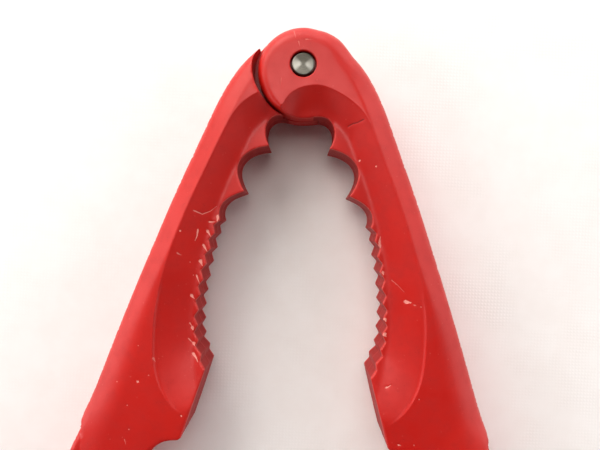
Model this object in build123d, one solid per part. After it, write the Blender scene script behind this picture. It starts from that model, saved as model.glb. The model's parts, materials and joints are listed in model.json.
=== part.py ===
from build123d import *
import math
import os

# Two-arm shellfish and nut cracker. Two identical die-cast arms, one turned over, are joined by
# a half-lap hub and one steel rivet. Millimetres, +Z up, lying on its back face on z = 0.
# The hub is towards +Y, the handles point towards -Y, and X = 0 is the plane between the arms.
#
# One arm is drawn in its own frame: the pivot is the origin, p runs down the closing line from
# the pivot to the handle, q runs outwards from the closing line, and z = 0 is the mid-plane.

# ---- driving dimensions ------------------------------------------------------------------
THICK = 14.0            # full thickness of the casting
HALF = THICK / 2
REST_DEG = 15.1         # each arm's angle from the centre plane as it lies
DISC_P = 0.65           # the hub disc is a little off the pivot, towards the jaws
DISC_R = 9.55
RECESS_R = 10.55        # wall that the other arm's hub disc turns inside
LAP_GAP = 0.10          # each lap stops this far short of the mid-plane
# Rounded outer edge of the casting: (inset from the outline, drop below the face)
ROUND = [(3.2, -0.25), (2.4, 0.0), (1.6, 0.25), (0.9, 0.7), (0.35, 1.4), (0.05, 2.4), (-0.4, 4.4)]
SHANK_R = 1.80          # rivet shank
BORE_R = 1.85           # running bore in the upper lap
HEAD_R, HEAD_T = 2.40, 1.50
CBORE_R, CBORE_DEPTH = 2.70, 1.75   # room for each rivet head in the castings
REAR_CBORE_R = 2.45
ARM_LEN = 172.0         # pivot to the end of the handle
PIVOT_Y = 77.2         # pivot in the finished frame, so that the box is centred on Y = 0

# Outer edge of an arm, (p, q), from the hub disc to the handle's shoulder
OUTER = [(-4.3, 8.15), (-0.5, 10.5), (3.5, 12.45), (10.2, 14.5), (20.5, 16.05), (31.0, 17.35),
         (40.8, 18.3), (50.4, 19.15), (61.1, 19.95), (71.0, 20.6), (80.0, 21.2), (90.0, 22.3),
         (101.0, 23.0), (115.0, 22.8), (130.0, 21.5), (145.0, 19.4), (160.0, 16.6)]
# Inner edge of the handle, (p, q), from the notch below the jaw to the handle's end
GRIP = [(81.5, 3.9), (84.0, 5.3), (88.4, 6.5), (92.5, 7.25), (100.0, 7.9), (112.0, 8.5), (125.0, 8.6),
        (138.0, 8.0), (150.0, 6.7), (161.0, 5.4)]
# Arch beside the hub and the two deep scallops between the cusps
ARCH = [(10.2, 0.0), (10.4, 1.2), (10.85, 2.3), (11.7, 3.15), (13.1, 3.6), (14.8, 3.4),
        (16.2, 2.75), (17.45, 1.7)]
SCALLOP_1 = [(17.45, 1.7), (18.05, 3.0), (18.8, 4.2), (20.4, 5.8), (22.5, 6.65), (24.5, 6.35),
             (26.2, 5.3), (27.9, 3.7)]
SCALLOP_2 = [(27.9, 3.7), (29.1, 5.25), (30.45, 6.6), (31.9, 7.35), (33.2, 7.45), (34.3, 7.15),
             (35.1, 6.65)]
# Fine teeth, tip and valley in turn, ending in the long last tip
TEETH = [(35.1, 6.65), (36.5, 7.65), (38.0, 6.85), (39.65, 7.7), (41.3, 6.65), (42.95, 7.5),
         (44.5, 6.5), (46.15, 7.25), (47.85, 6.15), (49.5, 6.8), (50.95, 5.7), (52.5, 6.35),
         (54.1, 5.1), (55.7, 5.65), (57.1, 4.25), (58.75, 4.65), (60.1, 3.2), (61.4, 3.4),
         (62.5, 1.65), (63.8, 1.5), (65.05, 0.0)]
PALM = [(65.05, 0.0), (79.2, 0.25)]   # flat below the teeth, and the corner above the notch

# Scoop: ridge (p, q) at the full thickness, trough (p, q, z) and a point (p, q, z) inside the
# teeth. The scoop falls from the ridge to the trough and rises again to the tooth tips.
SCOOP = [
    ((9.6, -9.2), (11.4, -7.8, 4.9), (14.0, -6.0, 4.2)),
    ((7.4, -6.3), (9.9, -4.6, 4.3), (12.4, -3.4, 4.0)),
    ((5.0, -3.2), (10.3, -2.4, 4.0), (12.8, -2.0, 4.0)),
    ((4.5, 0.0), (10.7, -0.4, 4.0), (13.0, -0.6, 4.2)),
    ((5.0, 2.6), (11.2, 1.6, 4.0), (13.4, 0.6, 4.4)),
    ((6.5, 5.0), (12.4, 3.7, 4.1), (14.6, 1.2, 4.9)),
    ((8.6, 7.3), (14.2, 4.9, 4.2), (16.0, 1.0, 5.4)),
    ((12.0, 9.7), (17.0, 6.0, 4.2), (18.0, 0.6, 5.8)),
    ((16.6, 11.0), (20.0, 6.4, 4.2), (20.6, 1.0, 5.8)),
    ((22.0, 11.9), (24.0, 7.1, 4.2), (24.4, 2.0, 5.8)),
    ((28.0, 12.8), (29.0, 7.6, 4.2), (29.0, 2.6, 5.8)),
    ((35.0, 13.6), (35.0, 8.0, 4.2), (34.6, 3.4, 5.6)),
    ((43.0, 13.95), (42.4, 7.95, 4.2), (41.6, 3.6, 5.5)),
    ((50.0, 13.7), (48.6, 7.3, 4.25), (46.8, 3.0, 5.5)),
    ((56.5, 13.0), (53.6, 6.6, 4.35), (51.4, 2.4, 5.6)),
    ((62.0, 11.7), (57.8, 5.5, 4.6), (55.0, 1.2, 5.8)),
    ((66.6, 10.0), (61.2, 4.1, 5.0), (58.0, -0.2, 6.0)),
    ((70.6, 7.4), (64.6, 2.4, 5.7), (61.0, -1.6, 6.2)),
    ((73.4, 4.2), (68.4, 0.4, 6.3), (64.6, -2.6, 6.4)),
    ((75.1, 0.6), (70.6, -1.8, 6.6), (67.0, -4.0, 6.5)),
    ((76.4, -2.8), (72.4, -4.4, 6.8), (69.0, -5.6, 6.7)),
]
# Edge of the raised panel on the handle, (p, q). Outside it the casting is a lower round rail.
RAIL_Z = 4.4
PANEL = [(82.0, 21.9), (84.0, 20.6), (88.0, 19.1), (96.0, 18.1), (110.0, 17.2), (125.0, 15.6),
         (140.0, 13.6), (153.0, 11.8), (163.0, 11.0)]


def xy(p, q):
    """Arm coordinates to the drawing plane: x outwards, y towards the hub."""
    return (q, -p)


def pts(rows):
    return [xy(p, q) for p, q in rows]


# ---- casting ----------------------------------------------------------------------------
def outline():
    disc_c = xy(DISC_P, 0.0)
    start, end = xy(*OUTER[0]), xy(*ARCH[0])
    a0 = math.atan2(start[1] - disc_c[1], start[0] - disc_c[0])
    a1 = math.atan2(end[1] - disc_c[1], end[0] - disc_c[0]) + 2 * math.pi
    am = (a0 + a1) / 2
    mid = (disc_c[0] + DISC_R * math.cos(am), disc_c[1] + DISC_R * math.sin(am))
    tip_out, tip_in = xy(*OUTER[-1]), xy(*GRIP[-1])
    edges = [
        ThreePointArc(start, mid, end),
        Spline(pts(ARCH)),
        Spline(pts(SCALLOP_1)),
        Spline(pts(SCALLOP_2)),
        Polyline(pts(TEETH)),
        Line(xy(*PALM[0]), xy(*PALM[1])),
        Spline(pts([PALM[1]] + [(79.8, 0.65), (80.2, 1.6)] + GRIP)),
        Spline(tip_in, xy(ARM_LEN - 5.6, 6.2), xy(ARM_LEN - 1.6, 8.2), xy(ARM_LEN, 10.8),
               xy(ARM_LEN - 1.5, 13.3), xy(ARM_LEN - 5.4, 15.4), tip_out),
        Spline([tip_out] + pts(OUTER[-2::-1])),
    ]
    return edges


def casting():
    """One arm at full thickness, before the scoops, rails and lap are cut."""
    wires = Wire.combine([e for part in outline() for e in part.edges()])
    face = make_face(wires[0].edges())
    return extrude(face, amount=HALF, both=True)


def rounding_cutter():
    """The space above the rounded outer edge, from the shoulder to the end of the handle."""
    path = [(-3.6, 8.6)] + OUTER[1:] + [(ARM_LEN - 6, 15.3)]
    rows = []
    for i, (p, q) in enumerate(path):
        a, b = path[max(i - 1, 0)], path[min(i + 1, len(path) - 1)]
        n = math.hypot(b[0] - a[0], b[1] - a[1])
        out_p, out_q = -(b[1] - a[1]) / n, (b[0] - a[0]) / n
        fade = min(1.0, 0.1 + i / 1.6, 0.1 + (len(path) - 1 - i) / 1.6)
        row = []
        for inset, drop in ROUND:
            row.append(Vector(*xy(p - out_p * inset, q - out_q * inset), HALF - drop * fade))
        rows.append(row)
    surface = Face.make_surface_from_array_of_points(rows, tol=0.02, min_deg=1, max_deg=3)
    return extrude(surface, amount=9, dir=(0, 0, 1))


def scoop_cutter():
    """The space above the scoop, a smooth surface through the stations carried upwards."""
    rows = []
    for (rp, rq), (bp, bq, bz), (ip, iq, iz) in SCOOP:
        row = []
        for t in (-0.22, 0.0, 0.25, 0.5, 0.75, 1.0):
            p, q = rp + (bp - rp) * t, rq + (bq - rq) * t
            drop = 1 - (1 - t) ** 2
            row.append((*xy(p, q), HALF - (HALF - bz) * drop))
        for t in (0.5, 1.0):
            p, q = bp + (ip - bp) * t, bq + (iq - bq) * t
            row.append((*xy(p, q), bz + (iz - bz) * t))
        rows.append([Vector(*v) for v in row])
    surface = Face.make_surface_from_array_of_points(rows, tol=0.02, min_deg=1, max_deg=3)
    return extrude(surface, amount=8, dir=(0, 0, 1))


def rail_cutter():
    edge = Spline(pts(PANEL))
    a, b = xy(*PANEL[0]), xy(*PANEL[-1])
    far = Polyline(b, xy(ARM_LEN + 4, 11.4), xy(ARM_LEN + 4, 30), xy(78, 30), xy(78, 23.5), a)
    face = make_face(edge.edges() + far.edges())
    return Pos(0, 0, RAIL_Z) * extrude(face, amount=6)


def flip(shape):
    """The same shape on the back face."""
    return mirror(shape, about=Plane.XY)


arm = casting()
for cutter in (rounding_cutter(), rail_cutter(), scoop_cutter()):
    arm = arm - cutter - flip(cutter)

# ---- half lap -----------------------------------------------------------------------------
# The upper half keeps the hub disc. The lower half is cut back to the recess wall.
recess = Pos(0, 0, -HALF - 1) * Cylinder(
    RECESS_R, HALF + 1 + LAP_GAP, align=(Align.CENTER, Align.CENTER, Align.MIN))
lapped = arm - recess


def drill(radius, z0, z1):
    return Pos(0, 0, z0) * Cylinder(radius, z1 - z0, align=(Align.CENTER, Align.CENTER, Align.MIN))


upper = lapped - drill(BORE_R, -1, HALF + 1) - drill(CBORE_R, HALF - CBORE_DEPTH, HALF + 1)
lower = lapped - drill(SHANK_R, -1, HALF + 1) - drill(REAR_CBORE_R, HALF - CBORE_DEPTH, HALF + 1)

# ---- rivet --------------------------------------------------------------------------------
head_top = HALF - 0.15
rivet = drill(SHANK_R, -HALF + CBORE_DEPTH - 0.0, HALF - CBORE_DEPTH)
rivet += drill(HEAD_R, HALF - CBORE_DEPTH + 0.1, head_top)
rivet += drill(SHANK_R, HALF - CBORE_DEPTH - 0.1, HALF - CBORE_DEPTH + 0.2)
rivet += drill(HEAD_R, -head_top, -HALF + CBORE_DEPTH)
rivet = chamfer(rivet.edges().filter_by_position(Axis.Z, head_top - 0.01, head_top + 0.01), 0.2)

# ---- assembly ------------------------------------------------------------------------------
place = Pos(0, PIVOT_Y, HALF)
nodes = {
    "right_arm": place * Rot(0, 0, REST_DEG) * upper,
    "left_arm": place * Rot(0, 180, 0) * Rot(0, 0, REST_DEG) * lower,
    "pivot_rivet": place * rivet,
}

os.makedirs("parts", exist_ok=True)
for name, shape in nodes.items():
    shape.label = name
    export_step(shape, f"parts/{name}.step")
    box = shape.bounding_box()
    print(name, "solids", len(shape.solids()), "volume", round(shape.volume, 1),
          [round(v, 2) for v in (*box.min, *box.max)])
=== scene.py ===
import json
import math

import bpy
import numpy as np
from mathutils import Euler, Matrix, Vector, kdtree
from mathutils.geometry import delaunay_2d_cdt


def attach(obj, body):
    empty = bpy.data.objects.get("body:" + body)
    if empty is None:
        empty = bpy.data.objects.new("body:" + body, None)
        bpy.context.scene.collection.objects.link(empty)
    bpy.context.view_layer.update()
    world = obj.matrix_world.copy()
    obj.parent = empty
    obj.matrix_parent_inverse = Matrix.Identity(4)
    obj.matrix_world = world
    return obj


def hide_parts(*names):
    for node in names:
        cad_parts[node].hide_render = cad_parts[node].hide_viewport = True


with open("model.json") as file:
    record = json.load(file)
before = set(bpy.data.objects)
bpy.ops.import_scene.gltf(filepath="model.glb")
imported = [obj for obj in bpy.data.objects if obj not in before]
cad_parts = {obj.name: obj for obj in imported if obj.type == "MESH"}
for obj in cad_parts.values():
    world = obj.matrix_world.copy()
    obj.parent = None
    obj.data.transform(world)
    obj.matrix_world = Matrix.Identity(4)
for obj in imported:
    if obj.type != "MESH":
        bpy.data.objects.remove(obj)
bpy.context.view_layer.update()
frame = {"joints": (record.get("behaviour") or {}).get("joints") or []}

# ------------------------------------------------------------------------------------------
# The casting, in millimetres. p runs from the pivot to the handle, q outwards from the closing
# line, z up from the mid-plane. The numbers are the design's own driving dimensions.
# ------------------------------------------------------------------------------------------
HALF = 7.0
REST = math.radians(15.1)
PIVOT = Vector(frame["joints"][0]["pos_m"]) * 1000.0 if frame["joints"][0].get("pos_m") else Vector((0, 77.2, 7))
DISC_P, DISC_R = 0.65, 9.53
RECESS_R, LAP = 10.42, 0.10
ARM_LEN = 172.0
OUTER = [(-7.59, 4.75), (-6.85, 6.3), (-5.9, 7.6), (-4.88, 8.6), (-4.07, 9.2), (-3.26, 9.65), (-2.4, 10.05), (-1.2, 10.55),
         (-0.27, 10.98), (1.2, 11.8), (4.5, 13.2), (10.2, 14.65), (20.5, 16.05), (31.0, 17.35),
         (40.8, 18.3), (50.4, 19.15), (61.1, 19.95), (71.0, 20.6), (80.0, 21.2), (90.0, 22.3),
         (101.0, 23.0), (115.0, 22.8), (130.0, 21.5), (145.0, 19.4), (160.0, 16.6)]
GRIP = [(81.5, 3.9), (84.0, 5.3), (88.4, 6.5), (92.5, 7.25), (100.0, 7.9), (112.0, 8.5), (125.0, 8.6),
        (138.0, 8.0), (150.0, 6.7), (161.0, 5.4)]
TIP = [(ARM_LEN - 5.6, 6.2), (ARM_LEN - 1.6, 8.2), (ARM_LEN, 10.8), (ARM_LEN - 1.5, 13.3),
       (ARM_LEN - 5.4, 15.37)]
ARCH = [(10.2, 0.0), (10.4, 1.2), (10.85, 2.3), (11.7, 3.15), (13.1, 3.6), (14.8, 3.4),
        (16.2, 2.75), (17.45, 1.7)]
SCALLOP_1 = [(17.45, 1.7), (18.05, 3.0), (18.8, 4.2), (20.4, 5.8), (22.5, 6.65), (24.5, 6.35),
             (26.2, 5.3), (27.9, 3.7)]
SCALLOP_2 = [(27.9, 3.7), (29.1, 5.25), (30.45, 6.6), (31.9, 7.35), (33.2, 7.45), (34.3, 7.15),
             (35.1, 6.65)]
TEETH = [(35.1, 6.65), (36.5, 7.65), (38.0, 6.85), (39.65, 7.7), (41.3, 6.65), (42.95, 7.5),
         (44.5, 6.5), (46.15, 7.25), (47.85, 6.15), (49.5, 6.8), (50.95, 5.7), (52.5, 6.35),
         (54.1, 5.1), (55.7, 5.65), (57.1, 4.25), (58.75, 4.65), (60.1, 3.2), (61.4, 3.4),
         (62.5, 1.65), (63.8, 1.5), (65.05, 0.0)]
CORNER = (79.2, 0.25)
SCOOP = [
    ((9.6, -9.2), (11.4, -7.8, 4.9), (14.0, -6.0, 4.2)),
    ((7.4, -6.3), (9.9, -4.6, 4.3), (12.4, -3.4, 4.0)),
    ((5.0, -3.2), (10.3, -2.4, 4.0), (12.8, -2.0, 4.0)),
    ((4.5, 0.0), (10.7, -0.4, 4.0), (13.0, -0.6, 4.2)),
    ((5.0, 2.6), (11.2, 1.6, 4.0), (13.4, 0.6, 4.4)),
    ((6.5, 5.0), (12.4, 3.7, 4.1), (14.6, 1.2, 4.66)),
    ((8.6, 7.3), (14.2, 4.9, 4.2), (16.0, 1.0, 4.99)),
    ((12.0, 9.7), (17.0, 6.0, 4.2), (18.0, 0.6, 5.26)),
    ((16.6, 11.0), (20.0, 6.4, 4.2), (20.6, 1.0, 5.26)),
    ((22.0, 11.9), (24.0, 7.1, 4.2), (24.4, 2.0, 5.26)),
    ((28.0, 12.8), (29.0, 7.6, 4.2), (29.0, 2.6, 5.26)),
    ((35.0, 13.6), (35.0, 8.0, 4.2), (34.6, 3.4, 5.12)),
    ((43.0, 13.95), (42.4, 7.95, 4.2), (41.6, 3.6, 5.06)),
    ((50.0, 13.7), (48.6, 7.3, 4.25), (46.8, 3.0, 5.06)),
    ((56.5, 13.0), (53.6, 6.6, 4.25), (51.4, 2.4, 4.93)),
    ((62.0, 11.7), (57.8, 5.5, 4.3), (55.0, 1.2, 5.2)),
    ((66.6, 10.0), (61.2, 4.1, 4.45), (58.0, -0.2, 5.2)),
    ((70.6, 7.4), (64.6, 2.4, 5.0), (61.0, -1.6, 5.5)),
    ((73.4, 4.2), (68.4, 0.4, 5.75), (64.6, -2.6, 5.9)),
    ((75.1, 0.6), (70.6, -1.8, 6.3), (67.0, -4.0, 6.3)),
    ((76.4, -2.8), (72.4, -4.4, 6.7), (69.0, -5.6, 6.6)),
]
PANEL = [(82.0, 21.9), (84.0, 20.6), (88.0, 19.1), (96.0, 18.1), (110.0, 17.2), (125.0, 15.6),
         (140.0, 13.6), (153.0, 11.8), (163.0, 11.0)]


# ---- small curve and field tools -----------------------------------------------------------
def cubic(points, step, clamp=None):
    """A natural cubic spline through the points, sampled about every step."""
    P = np.array(points, float)
    n = len(P)
    if n == 2:
        m = max(2, int(np.linalg.norm(P[1] - P[0]) / step) + 1)
        return P[0] + (P[1] - P[0]) * np.linspace(0, 1, m)[:, None]
    u = np.concatenate([[0], np.cumsum(np.linalg.norm(np.diff(P[:, :2], axis=0), axis=1))])
    h = np.diff(u)
    A = np.zeros((n, n)); B = np.zeros((n, P.shape[1]))
    A[0, 0] = A[-1, -1] = 1
    for i in range(1, n - 1):
        A[i, i - 1], A[i, i], A[i, i + 1] = h[i - 1], 2 * (h[i - 1] + h[i]), h[i]
        B[i] = 6 * ((P[i + 1] - P[i]) / h[i] - (P[i] - P[i - 1]) / h[i - 1])
    M = np.linalg.solve(A, B)
    t = np.linspace(0, u[-1], max(3, int(u[-1] / step) + 1))
    k = np.clip(np.searchsorted(u, t, side="right") - 1, 0, n - 2)
    a, b, hk = (u[k + 1] - t)[:, None], (t - u[k])[:, None], h[k][:, None]
    return (M[k] * a ** 3 + M[k + 1] * b ** 3) / (6 * hk) + (P[k] / hk - M[k] * hk / 6) * a + (
        P[k + 1] / hk - M[k + 1] * hk / 6) * b


def arclen(P, closed=False):
    Q = np.vstack([P, P[:1]]) if closed else P
    return np.concatenate([[0], np.cumsum(np.linalg.norm(np.diff(Q, axis=0), axis=1))])


def resample(P, s_new, closed=False):
    s = arclen(P, closed)
    Q = np.vstack([P, P[:1]]) if closed else P
    return np.stack([np.interp(s_new, s, Q[:, k]) for k in range(P.shape[1])], axis=1)


def smoothstep(x):
    x = np.clip(x, 0.0, 1.0)
    return x * x * (3 - 2 * x)


def smin(a, b, k):
    h = np.clip(0.5 + 0.5 * (b - a) / k, 0, 1)
    return b + (a - b) * h - k * h * (1 - h)


def seg_distance(Q, P, closed=True):
    """Distance from each point of Q to the polyline P, and the position along it as an index."""
    A = P if closed else P[:-1]
    B = np.roll(P, -1, axis=0) if closed else P[1:]
    D = B - A
    L2 = np.maximum((D ** 2).sum(1), 1e-12)
    best = np.full(len(Q), 1e9); where = np.zeros(len(Q))
    for i0 in range(0, len(Q), 1500):
        q = Q[i0:i0 + 1500]
        w = ((q[:, None, :] - A[None]) * D[None]).sum(2) / L2
        w = np.clip(w, 0, 1)
        d = np.linalg.norm(q[:, None, :] - (A[None] + D[None] * w[..., None]), axis=2)
        k = d.argmin(1)
        r = np.arange(len(q))
        best[i0:i0 + 1500] = d[r, k]
        where[i0:i0 + 1500] = k + w[r, k]
    return best, where


def inside(Q, poly):
    """Even-odd test of points against a closed polygon."""
    x, y = poly[:, 0], poly[:, 1]
    x2, y2 = np.roll(x, -1), np.roll(y, -1)
    result = np.zeros(len(Q), bool)
    for i0 in range(0, len(Q), 4000):
        q = Q[i0:i0 + 4000]
        cross = (y[None] > q[:, 1:2]) != (y2[None] > q[:, 1:2])
        with np.errstate(divide="ignore", invalid="ignore"):
            at = (x2 - x)[None] * (q[:, 1:2] - y[None]) / (y2 - y)[None] + x[None]
        result[i0:i0 + 4000] = (cross & (q[:, 0:1] < at)).sum(1) % 2 == 1
    return result


# ---- outline of the casting -----------------------------------------------------------------
def build_outline():
    a = np.radians(np.linspace(150.0, 360.0, 300))
    disc = np.stack([DISC_P + DISC_R * np.cos(a), DISC_R * np.sin(a)], axis=1)
    fine = 0.06
    parts = [(disc, "disc"), (cubic(ARCH, fine), "jaw"), (cubic(SCALLOP_1, fine), "jaw"),
             (cubic(SCALLOP_2, fine), "jaw")]
    for i in range(len(TEETH) - 1):
        parts.append((cubic([TEETH[i], TEETH[i + 1]], fine), "jaw"))
    parts += [(cubic([TEETH[-1], CORNER], fine), "palm"),
              (cubic([CORNER, (79.8, 0.65), (80.2, 1.6)] + GRIP, fine), "grip"),
              (cubic([GRIP[-1]] + TIP + [OUTER[-1]], fine), "tip"),
              (cubic(OUTER[::-1], fine), "outer")]
    P = np.vstack([c[:-1] for c, _ in parts])
    kind = np.concatenate([[k] * (len(c) - 1) for c, k in parts])
    # even steps, then a short Gaussian along the edge, which rounds every tip as a coating does
    total = arclen(P, True)[-1]
    n = int(total / 0.06)
    s = np.arange(n) * total / n
    near = np.clip(np.searchsorted(arclen(P, True)[:-1], s, side="right") - 1, 0, len(P) - 1)
    E, kind = resample(P, s, True), kind[near]
    sig = 0.17 / (total / n)
    w = np.arange(-18, 19)
    g = np.exp(-0.5 * (w / sig) ** 2); g /= g.sum()
    S = sum(gk * np.roll(E, -wk, axis=0) for wk, gk in zip(w, g))
    # spacing follows curvature
    d1 = (np.roll(S, -1, 0) - np.roll(S, 1, 0)) / 2
    d2 = np.roll(S, -1, 0) - 2 * S + np.roll(S, 1, 0)
    k = np.abs(d1[:, 0] * d2[:, 1] - d1[:, 1] * d2[:, 0]) / np.maximum(np.linalg.norm(d1, axis=1) ** 3, 1e-9)
    R = 1 / np.maximum(k, 1e-4)
    h = np.clip(0.2 * np.sqrt(R), 0.09, 1.0)
    h[kind == "jaw"] = np.minimum(h[kind == "jaw"], 0.36)
    h[kind == "disc"] = np.minimum(h[kind == "disc"], 0.45)
    h[kind == "palm"] = np.minimum(h[kind == "palm"], 0.5)
    for _ in range(60):
        h = np.minimum(h, np.minimum(np.roll(h, 1), np.roll(h, -1)) * 1.04 + 0.002)
    c = np.concatenate([[0], np.cumsum((total / n) / h)])
    m = int(round(c[-1]))
    pick = np.interp(np.arange(m) * c[-1] / m, c, np.arange(n + 1))
    S2 = np.vstack([S, S[:1]])
    out = np.stack([np.interp(pick, np.arange(n + 1), S2[:, k]) for k in (0, 1)], axis=1)
    return out, kind[np.clip(pick.astype(int), 0, n - 1)]


OUT, KIND = build_outline()
# put vertices exactly where the outline crosses the recess circle, and roll the loop to start there
def cut_at_recess(P, kind):
    r = np.linalg.norm(P, axis=1)
    new, nk, marks = [], [], []
    for i in range(len(P)):
        j = (i + 1) % len(P)
        new.append(P[i]); nk.append(kind[i])
        if (r[i] - RECESS_R) * (r[j] - RECESS_R) < 0 and P[i][0] < 16:
            t = (RECESS_R - r[i]) / (r[j] - r[i])
            x = P[i] + (P[j] - P[i]) * t
            for _ in range(5):
                x = x * RECESS_R / np.linalg.norm(x)
            if np.linalg.norm(x - P[i]) < 0.06:
                new[-1] = x
            else:
                new.append(x); nk.append(kind[i])
            marks.append(len(new) - 1)
    return np.array(new), np.array(nk), marks


OUT, KIND, marks = cut_at_recess(OUT, KIND)
# marks: where the loop leaves the recess circle (arch side) and where it comes back (shoulder)
rr = np.linalg.norm(OUT, axis=1)
leave = [m for m in marks if rr[(m + 2) % len(OUT)] > RECESS_R]
enter = [m for m in marks if rr[(m + 2) % len(OUT)] < RECESS_R]
assert len(leave) == 1 and len(enter) == 1, (marks, leave, enter)
shift = leave[0]
OUT = np.roll(OUT, -shift, axis=0); KIND = np.roll(KIND, -shift)
N_OUT = len(OUT)
N_BODY = (enter[0] - shift) % N_OUT      # vertices 0..N_BODY are the full-thickness part
area2 = np.sum(OUT[:, 0] * np.roll(OUT[:, 1], -1) - np.roll(OUT[:, 0], -1) * OUT[:, 1])


HEAD_EDGE = [(118, 4.6, 5.6), (150, 4.6, 5.7), (168, 4.0, 5.4), (200, 4.0, 5.4), (218, 3.2, 4.8), (236, 2.6, 4.2),
             (252, 2.2, 3.6), (285, 1.8, 2.9), (308, 0.9, 1.1), (330, 0.28, 0.25), (360, 0.28, 0.25)]


def edge_sizes():
    """For each outline vertex: rounding width and depth, then bevel width and depth."""
    E = np.zeros((N_OUT, 5))
    head = np.array(HEAD_EDGE)
    for i, ((p, q), k) in enumerate(zip(OUT, KIND)):
        if k == "jaw":
            E[i] = 0.26, 0.22, 1.0, 0.0, 0.06
        elif k == "palm":
            E[i] = 0.45, 0.40, 1.0, 0.0, 0.06
        elif k == "grip":
            f = smoothstep((p - 85.0) / 12.0)
            E[i] = 0.5 + 2.3 * f, 0.45 + 2.2 * f, 1.0, 0.0, 0.06
        elif k == "tip":
            E[i] = 3.0, 2.7, 1.0, 0.0, 0.06
        elif k == "outer":
            f = smoothstep((p + 6.0) / 15.0)
            g = smoothstep((p - 44.0) / 24.0)
            E[i] = 4.6 - 3.0 * f, 5.6 - 3.4 * f, 4.5 - 0.2 * g, 2.6 * f, 0.07 + 0.6 * g
            if p > 80.5:
                h = smoothstep((p - 80.5) / 3.0)
                E[i] = E[i] + (np.array([2.0, 1.9, 4.3, 0.6, 0.6]) - E[i]) * h
        else:
            ang = math.degrees(math.atan2(q, p - DISC_P)) % 360
            E[i] = np.interp(ang, head[:, 0], head[:, 1]), np.interp(ang, head[:, 0], head[:, 2]), 4.5, 0.0, 0.07
    w = np.exp(-0.5 * (np.arange(-14, 15) / 5.0) ** 2); w /= w.sum()
    keep = KIND == "jaw"
    S = sum(x * np.roll(E, -k, axis=0) for x, k in zip(w, range(-14, 15)))
    E[~keep] = S[~keep]
    return E


def edge_drop(E, d):
    """How far the surface falls at a distance d from the edge."""
    u = np.clip(1 - d / E[:, 0], 0, 1)
    t = (E[:, 2] - d) / E[:, 2]
    soft = E[:, 4]
    t = np.where(t > soft, t, np.where(t < -soft, 0, (t + soft) ** 2 / (4 * soft)))
    return E[:, 1] * (1 - np.sqrt(np.maximum(1 - u * u, 0))) + E[:, 3] * t


EDGE = edge_sizes()

# ---- scoop field ------------------------------------------------------------------------------
st = np.array([[*r, *b, *i] for r, b, i in SCOOP], float)      # rp rq bp bq bz ip iq iz
st_fine = cubic(st, 0.2)
TS = np.concatenate([np.linspace(-0.24, 0, 5)[:-1], np.linspace(0, 0.2, 13)[:-1], np.linspace(0.2, 1, 24)[:-1], np.linspace(1, 1.7, 20)])


STEEP = np.interp(st_fine[:, 0], [5.0, 14.0, 50.0, 62.0], [1.6, 1.22, 1.22, 1.1])
STEP = np.interp(st_fine[:, 0], [48.0, 62.0, 74.0], [0.0, 0.38, 0.25])     # short wall below the ridge


def station_points(t):
    """Points of the scoop surface at the stations, for t = 0 ridge, 1 trough, 2 inner end."""
    r, b, z, i, iz = st_fine[:, 0:2], st_fine[:, 2:4], st_fine[:, 4], st_fine[:, 5:7], st_fine[:, 7]
    if t <= 1:
        P = r + (b - r) * t
        Z = HALF - STEP * min(t / 0.03, 1.0) - (HALF - STEP - z) * (1 - (1 - t) ** STEEP)
    else:
        P = b + (i - b) * (t - 1)
        Z = z + (iz - z) * (t - 1)
    return np.column_stack([P, Z])


LAT = np.stack([station_points(t) for t in TS], axis=1)       # stations x t x 3
soft = LAT[:, :, 2].copy()
for _ in range(2):                                             # the trough is a soft crease
    soft[:, 1:-1] = (soft[:, :-2] + 2 * soft[:, 1:-1] + soft[:, 2:]) / 4
LAT[:, :, 2] = soft
gs = np.gradient(LAT, axis=0); gt = np.gradient(LAT, axis=1)
det = gs[..., 0] * gt[..., 1] - gs[..., 1] * gt[..., 0]
det = np.where(np.abs(det) < 1e-9, 1e-9, det)
GP = (gs[..., 2] * gt[..., 1] - gt[..., 2] * gs[..., 1]) / det
GQ = (gt[..., 2] * gs[..., 0] - gs[..., 2] * gt[..., 0]) / det
flat = LAT.reshape(-1, 3); flat_gp = np.clip(GP.reshape(-1), -3, 3); flat_gq = np.clip(GQ.reshape(-1), -3, 3)
tree = kdtree.KDTree(len(flat))
for i, v in enumerate(flat):
    tree.insert((v[0], v[1], 0.0), i)
tree.balance()
flat_t = np.tile(TS, len(st_fine))


def scoop_field(Q):
    z = np.full(len(Q), 99.0); tt = np.full(len(Q), -9.0)
    for n, (p, q) in enumerate(Q):
        if p > 80 or p < 1.5:
            continue
        _, i, d = tree.find((p, q, 0.0))
        if d < 1.2:
            z[n] = flat[i, 2] + flat_gp[i] * (p - flat[i, 0]) + flat_gq[i] * (q - flat[i, 1])
            tt[n] = flat_t[i]
    return z, tt


panel_line = cubic(PANEL, 0.5)


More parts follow.
